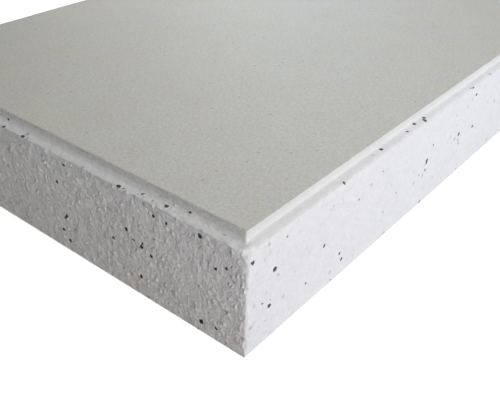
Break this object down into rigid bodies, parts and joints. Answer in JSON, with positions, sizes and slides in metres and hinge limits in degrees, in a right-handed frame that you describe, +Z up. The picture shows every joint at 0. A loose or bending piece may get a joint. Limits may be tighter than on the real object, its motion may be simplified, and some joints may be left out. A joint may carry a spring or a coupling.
{
  "type": "insulated gypsum fibre panel",
  "caption": "Flat composite building panel: a thin gypsum fibre board bonded onto a thick polystyrene foam slab, set back so that a narrow foam ledge runs round it.",
  "frame": {"origin": "centre of the foam slab's underside, which lies on the floor", "axes": "+X along the panel's length, +Y across its width, +Z up from the foam to the board"},
  "size_m": [1, 0.5, 0.11],
  "materials": {
    "polystyrene_foam": "matt white expanded polystyrene with a few dark grey beads",
    "gypsum_fibre": "matt pressed gypsum and cellulose fibre, greenish grey"
  },
  "bodies": {
    "root": {"foam_slab": "polystyrene_foam", "gypsum_fibre_board": "gypsum_fibre"}
  },
  "joints": []
}
